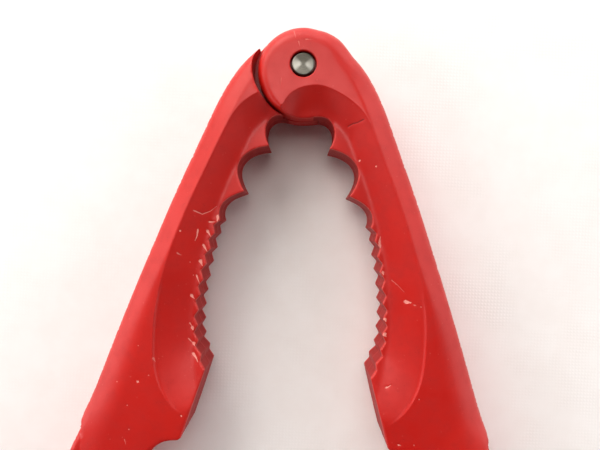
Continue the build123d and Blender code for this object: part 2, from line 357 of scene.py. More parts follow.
def face_height(Q):
    """The front surface: flat hub, rounded outer band, crowned palm, raised panel and rail."""
    d, at = seg_distance(Q, OUT)
    i0 = np.floor(at).astype(int) % N_OUT; i1 = (i0 + 1) % N_OUT; f = at - np.floor(at)
    drop = edge_drop(EDGE[i0] * (1 - f)[:, None] + EDGE[i1] * f[:, None], d)
    base = np.full(len(Q), HALF)
    p, q = Q[:, 0], Q[:, 1]
    # palm and handle are crowned very gently across their width
    grow = smoothstep((p - 60.0) / 20.0)
    base -= grow * 0.35 * ((q - 11.5) / 9.0) ** 2 * smoothstep((np.abs(q - 11.5) - 1) / 6)
    # rail beside the raised panel
    dp, ap = seg_distance(Q, panel_line, closed=False)
    k = np.clip(np.floor(ap).astype(int), 0, len(panel_line) - 2)
    T = panel_line[k + 1] - panel_line[k]
    side = T[:, 0] * (Q[:, 1] - panel_line[k, 1]) - T[:, 1] * (Q[:, 0] - panel_line[k, 0])
    out = np.where(side > 0, dp, -dp)
    begin = smoothstep((p - 81.4) / 1.5) * (1 - smoothstep((p - 160.0) / 5.0))
    groove = 4.2 * smoothstep((out + 0.3) / 0.9) - 1.0 * smoothstep((out - 0.9) / 2.6)
    base -= begin * groove
    z = base - drop
    return z, d, at, out


def top_height(Q, want=False):
    z, d, at, out = face_height(Q)
    s, t = scoop_field(Q)
    # the scoop's own edges are rounded too, so the edge drop is taken from it as well
    i0 = np.floor(at).astype(int) % N_OUT; i1 = (i0 + 1) % N_OUT; f = at - np.floor(at)
    E = EDGE[i0] * (1 - f)[:, None] + EDGE[i1] * f[:, None]
    near = np.minimum(E[:, 0], 0.4)
    u = np.clip(1 - d / near, 0, 1)
    s = s - np.minimum(E[:, 1], 0.3) * (1 - np.sqrt(np.maximum(1 - u * u, 0)))
    h = smin(z, s, 0.18)
    if want:
        return h, z, s, t, d, at, out
    return h


# ---- points of the faces ----------------------------------------------------------------------
def normals_in(P):
    t = np.roll(P, -1, 0) - np.roll(P, 1, 0)
    n = np.stack([-t[:, 1], t[:, 0]], axis=1)
    n /= np.linalg.norm(n, axis=1)[:, None]
    return n if area2 > 0 else -n


class Cloud:
    """Points kept at least their own radius apart."""
    def __init__(self, cell=0.3):
        self.c, self.g, self.p = cell, {}, []

    def near(self, x, y, r):
        k = int(math.ceil(r / self.c))
        cx, cy = int(math.floor(x / self.c)), int(math.floor(y / self.c))
        for i in range(cx - k, cx + k + 1):
            for j in range(cy - k, cy + k + 1):
                for (a, b) in self.g.get((i, j), ()):
                    if (a - x) ** 2 + (b - y) ** 2 < r * r:
                        return True
        return False

    def put(self, x, y, r=0.0, force=False):
        if not force and self.near(x, y, r):
            return False
        self.g.setdefault((int(math.floor(x / self.c)), int(math.floor(y / self.c))), []).append((x, y))
        self.p.append((x, y))
        return True


def face_points(loops, hole_r, recess, marks):
    """Interior points for the front face, or for the back face outside the recess."""
    cloud = Cloud()
    for L in loops:
        for x, y in L:
            cloud.put(x, y, force=True)
    nin = normals_in(OUT)
    cand = mark_points(marks)
    for d, r in ((0.06, 0.05), (0.15, 0.08), (0.27, 0.12), (0.45, 0.18), (0.72, 0.27), (1.1, 0.36),
                 (1.55, 0.42), (2.1, 0.5), (2.8, 0.55), (3.5, 0.5), (4.15, 0.3), (4.4, 0.2), (4.65, 0.3), (5.5, 0.4)):
        ok = (np.where(EDGE[:, 3] > 0.05, EDGE[:, 2], EDGE[:, 0]) + 0.45 > d)
        C = OUT[ok] + nin[ok] * d
        cand.append((C, r, d))
    if recess:
        a = np.radians(np.arange(-40, 140, 1.6))
        for d, r in ((0.06, 0.05), (0.15, 0.09), (0.3, 0.14), (0.5, 0.2)):
            C = np.stack([(RECESS_R + d) * np.cos(a), (RECESS_R + d) * np.sin(a)], axis=1)
            cand.append((C, r, 0.0))
    if hole_r:
        a = np.radians(np.arange(0, 360, 7.5))
        for d, r in ((0.05, 0.04), (0.13, 0.08), (0.3, 0.12), (0.7, 0.2), (1.2, 0.3)):
            cand.append((np.stack([(hole_r + d) * np.cos(a + d), (hole_r + d) * np.sin(a + d)], axis=1), r, 0.0))
    ridge = cubic([r for r, _, _ in SCOOP], 0.38)
    tr = np.gradient(ridge, axis=0); tr /= np.linalg.norm(tr, axis=1)[:, None]
    nr = np.stack([-tr[:, 1], tr[:, 0]], axis=1)
    for d in (0.0, -0.13, 0.13, -0.3, 0.3, -0.6, 0.6):
        cand.append((ridge + nr * d, 0.11, 0.0))
    trough = cubic([b[:2] for _, b, _ in SCOOP], 0.4)
    cand.append((trough, 0.2, 0.0))
    for L in (panel_line,):
        t2 = np.gradient(L, axis=0); t2 /= np.linalg.norm(t2, axis=1)[:, None]
        n2 = np.stack([-t2[:, 1], t2[:, 0]], axis=1)
        for d in (0.0, -0.35, 0.3, 0.65, 1.1, 1.8):
            cand.append((L + n2 * d, 0.28, 0.0))
    # even fill
    h = 0.52
    rows = []
    y = 0
    p0, p1 = -9.0, 92.0
    for j, p in enumerate(np.arange(p0, p1, h * 0.866)):
        qs = np.arange(-10.0, 24.0, h) + (h / 2 if j % 2 else 0)
        rows.append(np.stack([np.full(len(qs), p), qs], axis=1))
    cand.append((np.vstack(rows), h * 0.62, 0.0))
    rows = []
    h = 0.95
    for j, p in enumerate(np.arange(p1, ARM_LEN, h * 0.866)):
        qs = np.arange(4.0, 24.0, h) + (h / 2 if j % 2 else 0)
        rows.append(np.stack([np.full(len(qs), p), qs], axis=1))
    cand.append((np.vstack(rows), h * 0.62, 0.0))
    for C, r, d in cand:
        ok = inside(C, OUT)
        if recess:
            ok &= np.linalg.norm(C, axis=1) > RECESS_R + 0.04
        if hole_r:
            ok &= np.linalg.norm(C, axis=1) > hole_r + 0.04
        C = C[ok]
        if not len(C):
            continue
        dist, _ = seg_distance(C, OUT)
        C = C[dist > max(0.9 * d, 0.05, 0.45 * r)]
        for x, y in C:
            cloud.put(float(x), float(y), r)
    n = sum(len(L) for L in loops)
    return np.array(cloud.p[n:])


def triangulate(loops, extra, outer, holes):
    """Triangles over the region inside outer and outside holes. Returns points and faces, loops first."""
    P = np.vstack([*loops, extra]) if len(extra) else np.vstack(loops)
    edges, k = [], 0
    for L in loops:
        n = len(L)
        edges += [(k + i, k + (i + 1) % n) for i in range(n)]
        k += n
    v, _, f, ov, _, _ = delaunay_2d_cdt([Vector((float(x), float(y))) for x, y in P], edges, [], 0, 1e-7)
    V = np.array([[a.x, a.y] for a in v])
    to = {}
    for i, src in enumerate(ov):
        for s in src:
            to[s] = i
    assert len(V) == len(P) and all(i in to for i in range(len(P))), (len(V), len(P))
    back = np.empty(len(V), int)
    for s, i in to.items():
        back[i] = s
    F = back[np.array([list(x) for x in f if len(x) == 3])]
    C = P[F].mean(1)
    ok = inside(C, outer)
    for H in holes:
        ok &= ~inside(C, H)
    F = F[ok]
    A, B, D = P[F[:, 0]], P[F[:, 1]], P[F[:, 2]]
    cross = (B[:, 0] - A[:, 0]) * (D[:, 1] - A[:, 1]) - (B[:, 1] - A[:, 1]) * (D[:, 0] - A[:, 0])
    F[cross < 0] = F[cross < 0][:, ::-1]
    return P, F[np.abs(cross) > 1e-9]


def circle(r, n=64):
    a = np.arange(n) * 2 * math.pi / n
    return np.stack([r * np.cos(a), r * np.sin(a)], axis=1)


# the recess arc from the shoulder back to the arch, through the body
x_arch, x_shoulder = OUT[0], OUT[N_BODY]
a_arch, a_sh = math.atan2(x_arch[1], x_arch[0]), math.atan2(x_shoulder[1], x_shoulder[0])
n_arc = 46
ang = np.linspace(a_sh, a_arch, n_arc)[1:-1]
ARC = np.stack([RECESS_R * np.cos(ang), RECESS_R * np.sin(ang)], axis=1)
BODY_LOOP = np.vstack([OUT[:N_BODY + 1], ARC])
LAP_LOOP = np.vstack([OUT[N_BODY:], OUT[:1], ARC[::-1]])


def path_points(pts, step):
    P = np.array(pts, float)
    if len(P) == 2 and np.linalg.norm(P[1] - P[0]) < 0.05:
        return P[:1]
    s = arclen(P)
    return resample(P, np.linspace(0, s[-1], max(2, int(s[-1] / step) + 1)))


def mark_points(marks):
    """Points on and beside each coat mark, so that it keeps its shape in the mesh."""
    rows = []
    for pts, w, _ in marks:
        C = path_points(pts, max(0.12, w * 0.8))
        rows.append((C, 0.07, 0.0))
        if len(C) == 1:
            a = np.radians(np.arange(0, 360, 60))
            for k in (1.0, 2.0):
                rows.append((C[0] + np.stack([np.cos(a), np.sin(a)], axis=1) * w * k, 0.06, 0.0))
        else:
            T = np.gradient(C, axis=0)
            T /= np.linalg.norm(T, axis=1)[:, None]
            N = np.stack([-T[:, 1], T[:, 0]], axis=1)
            for k in (-1.0, 1.0, -2.0, 2.0):
                rows.append((C + N * w * k, 0.06, 0.0))
            rows.append((np.array([C[0] - T[0] * w, C[-1] + T[-1] * w]), 0.06, 0.0))
    return rows


def mark_field(Q, marks):
    chip = np.zeros(len(Q)); crack = np.zeros(len(Q)); tone = np.full(len(Q), 0.0)
    for pts, w, kind in marks:
        P = np.array(pts, float)
        near = np.abs(Q - P.mean(0)).max(1) < np.abs(P - P.mean(0)).max() + 3 * w + 0.1
        if not near.any():
            continue
        line = np.linalg.norm(P[-1] - P[0]) > 0.05
        d, at = seg_distance(Q[near], P if line else P[[0, 0]] + [[0, 0], [0.01, 0]], closed=False)
        w = w * (1.4 - 1.15 * at / (len(P) - 1)) if line and kind > 0 else w
        m = np.clip(1.15 - d / (2.0 * w), 0, 1)
        if kind > 0:
            tone[near] = np.where(m > chip[near], kind, tone[near])
            chip[near] = np.maximum(chip[near], m)
        else:
            crack[near] = np.maximum(crack[near], m)
    return chip, crack, tone


def build_arm(bore_r, cbore_r, cbore_depth, front_marks, back_marks):
    verts, faces, attrs = [], [], []

    def add(P, Z, A):
        k = len(verts)
        for (p, q), z, w in zip(P, Z, A):
            verts.append((float(q), float(-p), float(z)))
            attrs.append(w)
        return np.arange(k, k + len(P))

    def quads(a, b, closed=False, turned=False):
        n = len(a)
        for i in range(n if closed else n - 1):
            j = (i + 1) % n
            f = (a[i], b[i], b[j], a[j])
            faces.append(tuple(int(x) for x in (f[::-1] if turned else f)))

    def facts(P, H, tt, d, at, marks):
        """What the coat's material needs at each point: edge, depth below the face (for painted shade), scoop, chips,
        cracks.
        """
        jaw = KIND[np.round(at).astype(int) % N_OUT] == "jaw"
        chip, crack, tone = mark_field(P, marks)
        edge = np.where(jaw, np.clip(1 - d / 0.8, 0, 1), np.clip(1 - d / 0.5, 0, 1) * 0.45)
        return np.stack([edge, np.clip((HALF - H) / 3.0, 0, 1), np.clip(tt, 0, 1), chip, crack, tone], axis=1)

    # jaw and palm walls get depth 2, which the coat turns into its deepest painted shade
    inner_wall = np.where(np.isin(KIND, ["jaw", "palm"]), 2.0, 0.0)

    # the depth value given here sets how much painted shade the coat lays on these points
    def plain(n, shade_depth=0.0, edge=0.0):
        return np.tile([edge, shade_depth, 0.0, 0.0, 0.0, 0.0], (n, 1))

    # front face
    hole = circle(cbore_r)
    P, F = triangulate([OUT, hole], face_points([OUT, hole], cbore_r, False, front_marks), OUT, [hole])
    H, zf, zs, tt, d, at, out = top_height(P, want=True)
    A = facts(P, H, tt, d, at, front_marks)
    rim = np.clip(1 - (np.linalg.norm(P, axis=1) - cbore_r) / 0.16, 0, 1)
    H = H - 0.10 * (1 - np.sqrt(np.maximum(1 - rim ** 2, 0))) - 0.05 * A[:, 3] * A[:, 5] - 0.06 * A[:, 4]
    top = add(P, H, A)
    for f in F:
        faces.append(tuple(int(top[i]) for i in f))
    # back face, outside the recess
    P2, F2 = triangulate([BODY_LOOP], face_points([BODY_LOOP], None, True, back_marks), BODY_LOOP, [])
    H2, zf, zs, tt, d, at, out = top_height(P2, want=True)
    A = facts(P2, H2, tt, d, at, back_marks)
    rim = np.clip(1 - (np.linalg.norm(P2, axis=1) - RECESS_R) / 0.4, 0, 1)
    H2 = H2 - 0.3 * (1 - np.sqrt(np.maximum(1 - rim ** 2, 0))) - 0.05 * A[:, 3] * A[:, 5] - 0.06 * A[:, 4]
    bot = add(P2, -H2, A)
    for f in F2:
        faces.append(tuple(int(bot[i]) for i in f[::-1]))

    # side walls, with a faint parting line along the outside
    ztop, zbot = H[:N_OUT], -H2[:N_BODY + 1]
    nin = normals_in(OUT)
    bead = np.isin(KIND, ["outer", "tip", "grip"]).astype(float)
    bead[:12] = 0
    bead[N_BODY - 8:] = 0
    for _ in range(6):
        bead = (np.roll(bead, 1) + bead + np.roll(bead, -1)) / 3
    bead[0] = 0
    bead[N_BODY:] = 0

    lap_in = np.zeros(N_OUT)
    lap_in[N_BODY:] = 1.0
    for _ in range(4):
        lap_in = (np.roll(lap_in, 1) + lap_in + np.roll(lap_in, -1)) / 3
    lap_in[:N_BODY + 1] = 0

    def wall_row(idx, z, push, edge=0.0):
        A = plain(len(idx), 0.0, edge)
        A[:, 1] = inner_wall[idx] * (0.6 if edge else 1.0)
        return add(OUT[idx] - nin[idx] * push[:, None], z, A)

    every, body, none = np.arange(N_OUT), np.arange(N_BODY + 1), np.zeros(N_OUT)
    prev = top[:N_OUT]
    for t in (0.06, 0.22, 0.5, 0.78):
        r = wall_row(every, ztop + (0.45 - ztop) * t, bead * -0.07, 0.5 if t < 0.1 else 0.0)
        quads(prev, r, closed=True)
        prev = r
    r = wall_row(every, np.full(N_OUT, 0.45), bead * -0.07)
    quads(prev, r, closed=True)
    r2 = wall_row(every, np.full(N_OUT, 0.30), none)
    quads(r, r2, closed=True)
    lap = wall_row(every, np.full(N_OUT, LAP), lap_in * -0.22, 0.3)
    quads(r2, lap, closed=True)
    prev = lap[body]
    columns = [prev]
    for z, push in ((-0.1, 0.0), (-0.45, -0.07)):
        r = wall_row(body, np.full(len(body), z), bead[body] * push)
        quads(prev, r)
        prev = r
        columns.append(r)
    for t in (0.22, 0.5, 0.78, 0.94):
        r = wall_row(body, -0.45 + (zbot + 0.45) * t, bead[body] * -0.07, 0.5 if t > 0.9 else 0.0)
        quads(prev, r)
        prev = r
        columns.append(r)
    quads(prev, bot[:N_BODY + 1])
    columns.append(bot[:N_BODY + 1])

    # wall of the recess, from the shoulder round to the arch
    arc_bot = bot[N_BODY + 1:N_BODY + 1 + len(ARC)]
    zb = -H2[N_BODY + 1:N_BODY + 1 + len(ARC)]
    prev = None
    for k, col in enumerate(columns):
        if k == len(columns) - 1:
            mid = arc_bot
        else:
            z = np.full(len(ARC), (LAP, -0.1, -0.45)[k]) if k < 3 else -0.45 + (zb + 0.45) * (0.22, 0.5, 0.78, 0.94)[k - 3]
            mid = add(ARC, z, plain(len(ARC), 1.0))
        row = np.concatenate([[col[-1]], mid, [col[0]]])
        if k == 0:
            arc_lap = mid
        if prev is not None:
            quads(prev, row)
        prev = row

    # underside of the lap
    inner = circle(bore_r)
    ex = np.vstack([circle(r, 40) for r in (3.2, 5.0, 7.0, 8.6)])
    dist, _ = seg_distance(ex, LAP_LOOP)
    ex = ex[inside(ex, LAP_LOOP) & (dist > 0.5)]
    P3, F3 = triangulate([LAP_LOOP, inner], ex, LAP_LOOP, [inner])
    nl, n_lap = len(LAP_LOOP), N_OUT - N_BODY
    ids = np.empty(len(P3), int)
    ids[:n_lap] = lap[N_BODY:]
    ids[n_lap] = lap[0]
    ids[n_lap + 1:nl] = arc_lap[::-1]
    bore_low = add(inner, np.full(64, LAP), plain(64, 1.0))
    ids[nl:nl + 64] = bore_low
    rest = len(P3) - nl - 64
    ids[nl + 64:] = add(P3[nl + 64:], np.full(rest, LAP), plain(rest, 1.0))
    for f in F3:
        faces.append(tuple(int(ids[i]) for i in f[::-1]))

    # counterbore and bore
    mid = add(hole, np.full(64, HALF - 0.9), plain(64, 0.6))
    flo = add(hole, np.full(64, HALF - cbore_depth), plain(64, 1.0))
    inn = add(inner, np.full(64, HALF - cbore_depth), plain(64, 1.0))
    for a, b in ((top[N_OUT:N_OUT + 64], mid), (mid, flo), (flo, inn), (inn, bore_low)):
        quads(a, b, closed=True, turned=True)
    return np.array(verts), faces, np.array(attrs)


def place(V, left):
    c, s = math.cos(REST), math.sin(REST)
    X = V[:, 0] * c - V[:, 1] * s
    Y = V[:, 0] * s + V[:, 1] * c
    Z = V[:, 2]
    if left:
        X, Z = -X, -Z
    return np.stack([X, Y + PIVOT.y, Z + HALF], axis=1) / 1000.0


def link(ob):
    bpy.context.scene.collection.objects.link(ob)
    return ob


def make_arm(name, left, bore_r, cbore_r, depth, front, back, mat):
    V, faces, A = build_arm(bore_r, cbore_r, depth, front, back)
    me = bpy.data.meshes.new(name)
    me.from_pydata([tuple(v) for v in place(V, left)], [], faces)
    for n, col in (("edge_wear", 0), ("depth", 1), ("scoop", 2), ("chip", 3), ("crack", 4), ("chip_tone", 5)):
        me.attributes.new(n, "FLOAT", "POINT").data.foreach_set("value", A[:, col].astype(np.float32))
    cast = me.attributes.new("cast", "FLOAT_VECTOR", "POINT")
    cast.data.foreach_set("vector", (V * [1, -1, 1]).astype(np.float32).ravel())
    me.materials.append(mat)
    me.update()
    me.polygons.foreach_set("use_smooth", [True] * len(me.polygons))
    me.set_sharp_from_angle(angle=math.radians(40))
    return link(bpy.data.objects.new(name, me))


# ---- rivet --------------------------------------------------------------------------------------
def lathe(name, profile, mat, seg=96):
    """A turned piece about the pivot axis. profile is (radius, z) in millimetres, closed on the axis."""
    vs, fs, rings = [], [], []
    for r, z in profile:
        if r < 1e-6:
            rings.append([len(vs)])
            vs.append((0.0, PIVOT.y / 1000, (HALF + z) / 1000))
        else:
            rings.append(list(range(len(vs), len(vs) + seg)))
            for k in range(seg):
                a = 2 * math.pi * k / seg
                vs.append((r * math.cos(a) / 1000, (PIVOT.y + r * math.sin(a)) / 1000, (HALF + z) / 1000))
    for A, B in zip(rings, rings[1:]):
        for k in range(seg):
            j = (k + 1) % seg
            if len(A) == 1:
                fs.append((A[0], B[k], B[j]))
            elif len(B) == 1:
                fs.append((A[k], B[0], A[j]))
            else:
                fs.append((A[k], B[k], B[j], A[j]))
    me = bpy.data.meshes.new(name)
    me.from_pydata(vs, [], fs)
    me.materials.append(mat)
    me.update()
    me.polygons.foreach_set("use_smooth", [True] * len(me.polygons))
    me.set_sharp_from_angle(angle=math.radians(28))
    return link(bpy.data.objects.new(name, me))


def rivet_profile():
    top = HALF - 0.15
    face = [(0.0, top - 0.03), (0.08, top - 0.026), (0.16, top - 0.012)]
    r = 0.28
    k = 0
    while r < 2.10:                       # shallow turned rings on the slightly domed head
        face.append((r, top - 0.13 * (r / 2.2) ** 2 - (0.010 if k % 2 else 0.0)))
        r += 0.085
        k += 1
    face += [(2.20, top - 0.15), (2.28, top - 0.20), (2.35, top - 0.28), (2.40, top - 0.42),
             (2.40, HALF - 1.75 + 0.14), (2.36, HALF - 1.75 + 0.1), (1.80, HALF - 1.75 + 0.1)]
    rear = [(1.80, -HALF + 1.75), (2.38, -HALF + 1.75), (2.40, -HALF + 1.73), (2.40, -top + 0.24), (2.34, -top + 0.10),
            (2.24, -top + 0.03), (2.1, -top), (1.5, -top + 0.03), (1.2, -top + 0.10), (0.9, -top + 0.16),
            (0.5, -top + 0.2), (0.0, -top + 0.21)]
    return face + [(1.80, 2.0), (1.80, -2.0)] + rear


# ---- materials ----------------------------------------------------------------------------------
class Nodes:
    def __init__(self, name):
        self.m = bpy.data.materials.new(name)
        self.m.use_nodes = True
        self.t = self.m.node_tree
        self.t.nodes.clear()
        self.out = self.t.nodes.new("ShaderNodeOutputMaterial")
        self.bsdf = self.t.nodes.new("ShaderNodeBsdfPrincipled")
        self.t.links.new(self.bsdf.outputs[0], self.out.inputs["Surface"])

    def n(self, kind, **sockets):
        node = self.t.nodes.new(kind)
        for k, v in sockets.items():
            if hasattr(node, k) and not isinstance(v, bpy.types.NodeSocket):
                setattr(node, k, v)
        return node

    def wire(self, a, b):
        self.t.links.new(a, b)

    def attr(self, name):
        a = self.n("ShaderNodeAttribute")
        a.attribute_type = "GEOMETRY"
        a.attribute_name = name
        return a

    def noise(self, vec, scale, detail=2.0, rough=0.5, distortion=0.0):
        t = self.n("ShaderNodeTexNoise")
        t.inputs["Scale"].default_value = scale
        t.inputs["Detail"].default_value = detail
        t.inputs["Roughness"].default_value = rough
        t.inputs["Distortion"].default_value = distortion
        self.wire(vec, t.inputs["Vector"])
        return t.outputs[0]

    def math(self, op, a, b=None, c=None, clamp=False):
        t = self.n("ShaderNodeMath")
        t.operation = op
        t.use_clamp = clamp
        for k, v in enumerate((a, b, c)):
            if v is None:
                continue
            if isinstance(v, (int, float)):
                t.inputs[k].default_value = v
            else:
                self.wire(v, t.inputs[k])
        return t.outputs[0]

    def remap(self, x, a, b, c=0.0, d=1.0, smooth=True):
        t = self.n("ShaderNodeMapRange")
        t.interpolation_type = "SMOOTHSTEP" if smooth else "LINEAR"
        t.clamp = True
        for k, v in zip(("From Min", "From Max", "To Min", "To Max"), (a, b, c, d)):
            t.inputs[k].default_value = v
        self.wire(x, t.inputs["Value"])
        return t.outputs["Result"]

    def mix(self, f, a, b):
        t = self.n("ShaderNodeMix")
        t.data_type = "RGBA"
        col = [s for s in t.inputs if s.type == "RGBA"]
        fac = [s for s in t.inputs if s.type == "VALUE"][0]
        for s, v in ((fac, f), (col[0], a), (col[1], b)):
            if isinstance(v, (int, float)):
                s.default_value = v
            elif isinstance(v, tuple):
                s.default_value = (*v, 1.0)
            else:
                self.wire(v, s)
        return [s for s in t.outputs if s.type == "RGBA"][0]

    def bump(self, height, distance, strength=1.0, normal=None):
        t = self.n("ShaderNodeBump")
        t.inputs["Strength"].default_value = strength
        t.inputs["Distance"].default_value = distance
        self.wire(height, t.inputs["Height"])
        if normal is not None:
            self.wire(normal, t.inputs["Normal"])
        return t.outputs["Normal"]

    def mm(self, shift=(0, 0, 0)):
        c = self.n("ShaderNodeTexCoord")
        m = self.n("ShaderNodeMapping")
        m.inputs["Scale"].default_value = (1000.0, 1000.0, 1000.0)
        m.inputs["Location"].default_value = shift
        self.wire(c.outputs["Object"], m.inputs["Vector"])
        return m.outputs["Vector"]


def coat(name, shift):
    """The semi-gloss coat on the castings: mottled, finely pitted, worn along the jaws, chipped, with painted shade in
    the hollows and on the inner walls.
    """
    N = Nodes(name)
    co = N.mm(shift)
    b = N.bsdf.inputs
    broad = N.noise(co, 0.045, 3.0, 0.55)
    cloud = N.noise(co, 0.33, 4.0, 0.6)
    grain = N.noise(co, 4.5, 3.0, 0.6)
    col = N.mix(N.remap(broad, 0.35, 0.65), (0.485, 0.0078, 0.0044), (0.54, 0.0115, 0.0068))
    col = N.mix(N.remap(cloud, 0.42, 0.72, 0.0, 0.5), col, (0.43, 0.0074, 0.0045))
    col = N.mix(N.remap(grain, 0.55, 0.8, 0.0, 0.18), col, (0.56, 0.030, 0.022))
    # tiny pits: dark centres and a few that show the primer
    pit = N.n("ShaderNodeTexVoronoi")
    pit.inputs["Scale"].default_value = 0.85
    N.wire(co, pit.inputs["Vector"])
    pick = N.remap(N.noise(co, 0.55, 1.0), 0.54, 0.62)
    dots = N.math("MULTIPLY", N.remap(pit.outputs["Distance"], 0.06, 0.16, 1.0, 0.0), pick)
    col = N.mix(N.math("MULTIPLY", dots, 0.24), col, (0.68, 0.13, 0.10))
    pit2 = N.n("ShaderNodeTexVoronoi")
    pit2.inputs["Scale"].default_value = 1.6
    N.wire(co, pit2.inputs["Vector"])
    dark = N.math("MULTIPLY", N.remap(pit2.outputs["Distance"], 0.08, 0.2, 1.0, 0.0), N.remap(cloud, 0.5, 0.62))
    col = N.mix(N.math("MULTIPLY", dark, 0.35), col, (0.22, 0.004, 0.004))
    # painted shade: darker in the scoops, recesses and bore, and darker still on the jaw and palm inner walls
    shade_depth = N.attr("depth").outputs["Fac"]
    col = N.mix(N.math("MULTIPLY", N.remap(shade_depth, 0.2, 1.0), 0.14), col, (0.30, 0.003, 0.002))
    flank_shade = N.remap(shade_depth, 1.0, 2.0)
    col = N.mix(N.math("MULTIPLY", flank_shade, 0.6), col, (0.17, 0.002, 0.002))
    # hairline scratches
    sv = N.n("ShaderNodeMapping")
    sv.inputs["Rotation"].default_value = (0.3, 0.2, 0.7)
    sv.inputs["Scale"].default_value = (0.10, 1.0, 0.4)
    N.wire(co, sv.inputs["Vector"])
    lines = N.noise(sv.outputs["Vector"], 2.2, 5.0, 0.7, 0.4)
    hair = N.math("MULTIPLY", N.remap(lines, 0.665, 0.70), N.remap(N.noise(co, 0.14, 2.0), 0.5, 0.66))
    col = N.mix(N.math("MULTIPLY", hair, 0.22), col, (0.70, 0.10, 0.08))
    # worn jaw edges and chips down to the pale primer
    edge = N.attr("edge_wear").outputs["Fac"]
    rough_edge = N.noise(co, 1.5, 4.0, 0.65)
    worn = N.remap(N.math("ADD", N.math("MULTIPLY", edge, 1.0), N.math("MULTIPLY", rough_edge, 0.9)), 1.24, 1.44)
    col = N.mix(N.math("MULTIPLY", worn, 0.42), col, (0.66, 0.10, 0.08))
    chip = N.attr("chip").outputs["Fac"]
    broken = N.math("ADD", chip, N.math("MULTIPLY", N.noise(co, 4.0, 4.0, 0.75), 0.95))
    chipped = N.remap(broken, 1.04, 1.2)
    tone = N.attr("chip_tone").outputs["Fac"]
    col = N.mix(N.math("MULTIPLY", N.math("MULTIPLY", chipped, tone), 0.9), col, (0.82, 0.30, 0.25))
    crack = N.remap(N.attr("crack").outputs["Fac"], 0.35, 0.9)
    col = N.mix(N.math("MULTIPLY", crack, 0.7), col, (0.12, 0.002, 0.002))
    N.wire(col, b["Base Color"])
    # sheen of the coat
    rough = N.remap(cloud, 0.3, 0.75, 0.37, 0.46)
    rough = N.math("ADD", rough, N.math("MULTIPLY", grain, 0.05))
    rough = N.math("ADD", rough, N.math("MULTIPLY", flank_shade, 0.22))
    rough = N.math("ADD", rough, N.math("MULTIPLY", chipped, 0.2), clamp=True)
    N.wire(rough, b["Roughness"])
    b["Specular IOR Level"].default_value = 0.29
    b["Coat Weight"].default_value = 0.05
    b["Coat Roughness"].default_value = 0.22
    b["Coat IOR"].default_value = 1.45
    # orange peel, fine tooth, pits
    peel = N.noise(co, 0.9, 2.0, 0.5)
    nrm = N.bump(peel, 0.00003, 0.55)
    nrm = N.bump(grain, 0.000010, 0.6, nrm)
    nrm = N.bump(N.math("SUBTRACT", 1.0, N.math("ADD", dots, dark)), 0.00002, 0.5, nrm)
    nrm = N.bump(N.math("SUBTRACT", 1.0, N.math("MAXIMUM", chipped, N.math("MAXIMUM", hair, crack))), 0.00003, 0.6, nrm)
    N.wire(nrm, b["Normal"])
    return N.m


def steel(name):
    """Turned steel: rings round the axis, a little grey mottling and dark in the rings, with painted shade at the rim
    of the head and painted bow-tie highlights.
    """
    N = Nodes(name)
    co = N.mm((0.0, -PIVOT.y, 0.0))
    b = N.bsdf.inputs
    sep = N.n("ShaderNodeSeparateXYZ")
    N.wire(co, sep.inputs[0])
    r = N.math("SQRT", N.math("ADD", N.math("MULTIPLY", sep.outputs[0], sep.outputs[0]),
                              N.math("MULTIPLY", sep.outputs[1], sep.outputs[1])))
    ringv = N.n("ShaderNodeCombineXYZ")
    N.wire(r, ringv.inputs[0])
    rings = N.noise(ringv.outputs[0], 9.0, 4.0, 0.7)
    mott = N.noise(co, 1.1, 3.0, 0.6)
    col = N.mix(N.remap(rings, 0.3, 0.7), (0.052, 0.048, 0.039), (0.095, 0.089, 0.075))
    col = N.mix(N.remap(mott, 0.45, 0.75, 0.0, 0.4), col, (0.045, 0.042, 0.035))
    # painted shade: the head darkens towards its rounded rim
    col = N.mix(N.remap(r, 2.05, 2.32, 0.0, 0.8), col, (0.05, 0.045, 0.04))
    # painted highlight: light and dark sectors standing in for the bow-tie reflection of a turned face
    ax = N.math("DIVIDE", N.math("ABSOLUTE", sep.outputs[0]), N.math("ADD", r, 0.05))
    bowtie_highlight = N.math("MULTIPLY", N.remap(ax, 0.62, 0.98), N.remap(r, 0.1, 0.9))
    col = N.mix(N.math("MULTIPLY", bowtie_highlight, 0.75), col, (0.26, 0.25, 0.22))
    N.wire(col, b["Base Color"])
    N.wire(N.math("ADD", N.remap(rings, 0.3, 0.7, 0.26, 0.38), N.math("MULTIPLY", mott, 0.06)), b["Roughness"])
    b["Metallic"].default_value = 1.0
    b["Anisotropic"].default_value = 0.75
    tan = N.n("ShaderNodeTangent")
    tan.direction_type = "RADIAL"
    tan.axis = "Z"
    N.wire(tan.outputs[0], b["Tangent"])
    nrm = N.bump(rings, 0.000006, 0.5)
    nrm = N.bump(N.noise(co, 6.0, 2.0), 0.000005, 0.4, nrm)
    N.wire(nrm, b["Normal"])
    return N.m


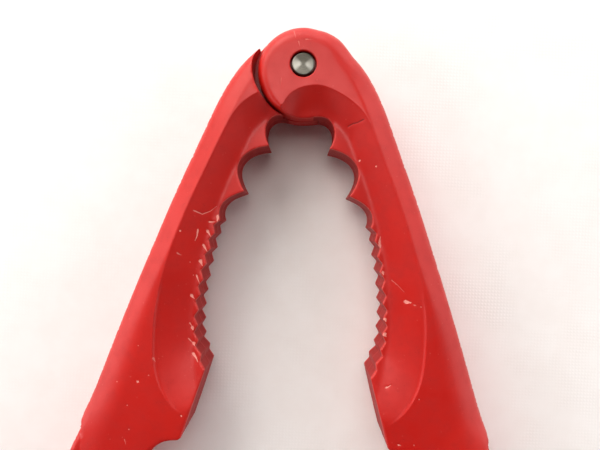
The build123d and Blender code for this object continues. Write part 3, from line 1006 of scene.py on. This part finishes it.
def cloth(name):
    """A plain pale woven floor."""
    N = Nodes(name)
    co = N.mm()
    b = N.bsdf.inputs
    warp = N.n("ShaderNodeTexWave")
    weft = N.n("ShaderNodeTexWave")
    for t, axis in ((warp, "X"), (weft, "Y")):
        t.wave_type = "BANDS"
        t.bands_direction = axis
        t.inputs["Scale"].default_value = 0.42
        t.inputs["Distortion"].default_value = 1.6
        t.inputs["Detail"].default_value = 2.0
        t.inputs["Detail Scale"].default_value = 0.6
        N.wire(co, t.inputs["Vector"])
    weave = N.math("MULTIPLY", warp.outputs["Fac"], weft.outputs["Fac"])
    slub = N.noise(co, 0.12, 4.0, 0.6)
    fold = N.noise(co, 0.012, 2.0, 0.5)
    col = N.mix(N.remap(slub, 0.3, 0.7), (0.95, 0.915, 0.90), (0.97, 0.945, 0.935))
    patch = N.remap(N.noise(co, 0.05, 3.0, 0.6), 0.42, 0.66)
    col = N.mix(N.math("MULTIPLY", N.remap(weave, 0.0, 0.6, 0.07, 0.0), patch), col, (0.72, 0.70, 0.68))
    N.wire(col, b["Base Color"])
    b["Roughness"].default_value = 0.95
    b["Specular IOR Level"].default_value = 0.2
    nrm = N.bump(N.math("MULTIPLY", weave, patch), 0.00008, 0.35)
    nrm = N.bump(fold, 0.004, 0.35, nrm)
    N.wire(nrm, b["Normal"])
    return N.m


# ---- coat marks, in casting coordinates: path, half width, +1 chip or -1 crack; one spot on the left ridge is a painted highlight ---
MARKS_L = [
    ([(34.8, 11.8), (35.0, 10.3), (34.0, 9.1), (32.6, 8.2)], 0.09, 0.7),
    ([(34.5, 7.3), (35.5, 7.1)], 0.25, 1),
    ([(36.1, 8.6), (35.7, 7.4)], 0.12, 1),
    ([(38.0, 8.4), (38.9, 7.4)], 0.20, 1),
    ([(41.0, 8.3), (42.2, 7.0)], 0.18, 1),
    ([(44.3, 7.9), (45.1, 7.2)], 0.25, 1),
    ([(38.3, 10.2), (39.6, 10.0), (40.6, 10.1)], 0.12, 1),
    ([(39.5, 13.2), (39.5, 13.2)], 0.20, 1),
    ([(34.8, 12.0), (34.8, 12.0)], 0.12, 0.5),
    ([(45.1, 9.7), (45.1, 9.7)], 0.12, 0.5),
    ([(47.5, 8.3), (47.5, 8.3)], 0.12, 0.5),
    ([(44.0, 12.4), (44.2, 11.7)], 0.13, 0.5),
    ([(47.4, 7.7), (48.8, 6.6)], 0.12, 1),
    ([(51.6, 7.4), (52.1, 6.7)], 0.20, 1),
    ([(57.1, 6.0), (58.0, 5.0)], 0.09, 0.7),
    ([(57.9, 5.2), (58.3, 4.9)], 0.25, 1),
    ([(60.2, 5.2), (60.9, 4.0)], 0.09, 0.7),
    ([(60.8, 3.9), (61.2, 3.6)], 0.25, 1),
    ([(62.8, 3.3), (63.3, 2.5), (64.0, 1.9)], 0.22, 1),
    # painted highlight: this pale spot on the scoop's ridge stands for a glint, not a chip
    ([(65.4, 10.4), (66.1, 9.8)], 0.12, 0.5),
    ([(63.9, 14.0), (63.9, 14.0)], 0.12, 0.5),
    ([(72.2, 15.9), (72.2, 15.9)], 0.13, 0.5),
    ([(70.8, 11.8), (70.8, 11.6)], 0.20, 1),
    ([(80.4, 10.6), (80.4, 10.6)], 0.13, 0.5),
    ([(74.8, 1.5), (74.8, 1.5)], 0.18, 1),
    ([(75.9, 12.4), (75.9, 12.4)], 0.12, 0.5),
    ([(68.9, 10.2), (68.9, 10.2)], 0.12, 0.5),
    ([(82.6, 10.8), (83.5, 10.2)], 0.07, 0.4),
    ([(104.0, 14.0), (105.6, 13.2)], 0.12, 1),
    ([(131.0, 11.0), (131.0, 11.0)], 0.20, 1),
]
MARKS_R = [
    ([(13.8, 6.4), (13.55, 7.4), (13.65, 8.3), (13.4, 9.5)], 0.10, -1),
    ([(21.1, 7.3), (21.1, 7.3)], 0.20, 1),
    ([(23.1, 10.1), (23.1, 10.1)], 0.16, 1),
    ([(51.35, 10.3), (51.6, 11.2)], 0.30, 1),
    ([(52.2, 11.7), (52.3, 12.0)], 0.12, 0.5),
    ([(52.7, 12.8), (52.7, 12.8)], 0.13, 0.5),
    ([(44.6, 7.1), (45.1, 7.1)], 0.24, 0.8),
    ([(54.1, 5.5), (54.6, 5.6)], 0.22, 1),
    ([(57.2, 4.8), (57.6, 5.0)], 0.32, 1),
    ([(39.3, 7.6), (38.2, 7.8), (37.3, 8.2)], 0.24, 0.8),
    ([(46.6, 8.6), (47.8, 9.5), (49.2, 10.3)], 0.06, 0.35),
    ([(67.4, 2.7), (67.4, 3.0), (67.1, 3.7)], 0.12, 1),
    ([(70.6, 8.4), (70.6, 8.4)], 0.13, 0.5),
    ([(79.4, 5.5), (79.4, 5.5)], 0.13, 0.5),
    ([(78.8, 2.5), (79.0, 2.9)], 0.12, 1),
    ([(-7.1, -0.4), (-5.4, -0.4)], 0.08, 0.35),
    ([(-4.5, 0.0), (-3.5, 0.0)], 0.09, 0.35),
    ([(-4.6, 1.5), (-4.4, 2.9)], 0.06, 0.35),
    ([(2.0, -5.0), (3.5, -5.4)], 0.06, 0.35),
    ([(98.0, 13.0), (99.2, 14.6)], 0.12, 1),
    ([(120.5, 10.5), (120.5, 10.5)], 0.20, 1),
]
rng = np.random.default_rng(11)


def other_side_marks(n):
    """Wear of the same kind on the faces turned away."""
    result = []
    for _ in range(n):
        p, q = rng.uniform(18, 150), 0.0
        lo = float(np.interp(p, [18, 34, 50, 64, 84, 100, 150], [6, 9, 8, 4, 4, 10, 9]))
        hi = float(np.interp(p, [18, 34, 64, 100, 150], [13, 15, 17, 15, 11.5]))
        q = rng.uniform(lo, hi)
        a, l, w = rng.uniform(0, math.pi), rng.choice([0.0, 0.6, 1.6]), rng.uniform(0.09, 0.2)
        result.append(([(p, q), (p + l * math.cos(a), q + l * math.sin(a))], float(w), 0.5))
    return result


red_r, red_l, bright = coat("coat_right", (3.0, 7.0, 1.0)), coat("coat_left", (41.0, -13.0, 5.0)), steel("turned_steel")
right = make_arm("right_arm_cast", False, 1.85, 2.70, 1.75, MARKS_R, other_side_marks(14), red_r)
left = make_arm("left_arm_cast", True, 1.80, 2.45, 1.75, other_side_marks(14), MARKS_L, red_l)
rivet = lathe("pivot_rivet_turned", rivet_profile(), bright)

for ob, body, node, slot in ((right, "right", "right_arm", "red_coat"), (left, "left", "left_arm", "red_coat"),
                             (rivet, "left", "pivot_rivet", "rivet_steel")):
    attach(ob, body)
    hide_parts(node)

# ---- floor, light, camera -------------------------------------------------------------------------
fm = bpy.data.meshes.new("floor")
n = 24
gx = np.linspace(-0.9, 0.9, n)
fm.from_pydata([(float(x), float(y), 0.0) for y in gx for x in gx], [],
               [(j * n + i, j * n + i + 1, (j + 1) * n + i + 1, (j + 1) * n + i) for j in range(n - 1) for i in range(n - 1)])
fm.materials.append(cloth("pale_cloth"))
floor = link(bpy.data.objects.new("floor", fm))


def area(name, where, aim, size, power, color=(1, 1, 1)):
    la = bpy.data.lights.new(name, "AREA")
    la.shape = "SQUARE"
    la.size = size
    la.energy = power
    la.color = color
    ob = link(bpy.data.objects.new(name, la))
    ob.location = where
    ob.rotation_euler = (Vector(aim) - Vector(where)).to_track_quat("-Z", "Y").to_euler()
    return ob


def lamp(name, azimuth, height, power, size, color=(1, 1, 1), far=0.7):
    a, e = math.radians(azimuth), math.radians(height)
    return area(name, (far * math.cos(e) * math.cos(a), 0.03 + far * math.cos(e) * math.sin(a), 0.005 + far * math.sin(e)),
                (0.0, 0.03, 0.005), size, power, color)


WARM = (1.0, 0.94, 0.88)
lamp("left", 178, 14, 2.5, 0.50)
lamp("left_front", 222, 14, 1.7, 0.50)
lamp("key", 128, 27.5, 4.6, 0.50, WARM)
lamp("back", 92, 14, 2.6, 0.50)
lamp("back_right", 45, 14, 2.3, 0.50)
lamp("right", 0, 14, 1.75, 0.50)
lamp("right_front", 315, 14, 1.15, 0.50)
lamp("top", 96, 62, 1.45, 0.50, WARM)
sheen = lamp("overhead", 104, 78, 1.5, 0.26)
sheen.visible_diffuse = False

world = bpy.data.worlds.new("room")
bpy.context.scene.world = world
world.use_nodes = True
bg = world.node_tree.nodes.get("Background") or world.node_tree.nodes.new("ShaderNodeBackground")
bg.inputs["Color"].default_value = (1.0, 0.99, 0.98, 1.0)
bg.inputs["Strength"].default_value = 0.01
wo = next((x for x in world.node_tree.nodes if x.type == "OUTPUT_WORLD"), None) or world.node_tree.nodes.new("ShaderNodeOutputWorld")
world.node_tree.links.new(bg.outputs[0], wo.inputs["Surface"])
bpy.context.scene.view_settings.view_transform = "Standard"
bpy.context.scene.view_settings.look = "None"

cam = bpy.data.cameras.new("camera")
cam.sensor_width = 36.0
cam.lens = 27.6
cam.clip_start, cam.clip_end = 0.002, 20.0
eye = link(bpy.data.objects.new("camera", cam))
eye.location = (0.000956, 0.04489, 0.106)
eye.rotation_euler = Euler((0.0, 0.0, math.radians(2.9)))
bpy.context.scene.camera = eye
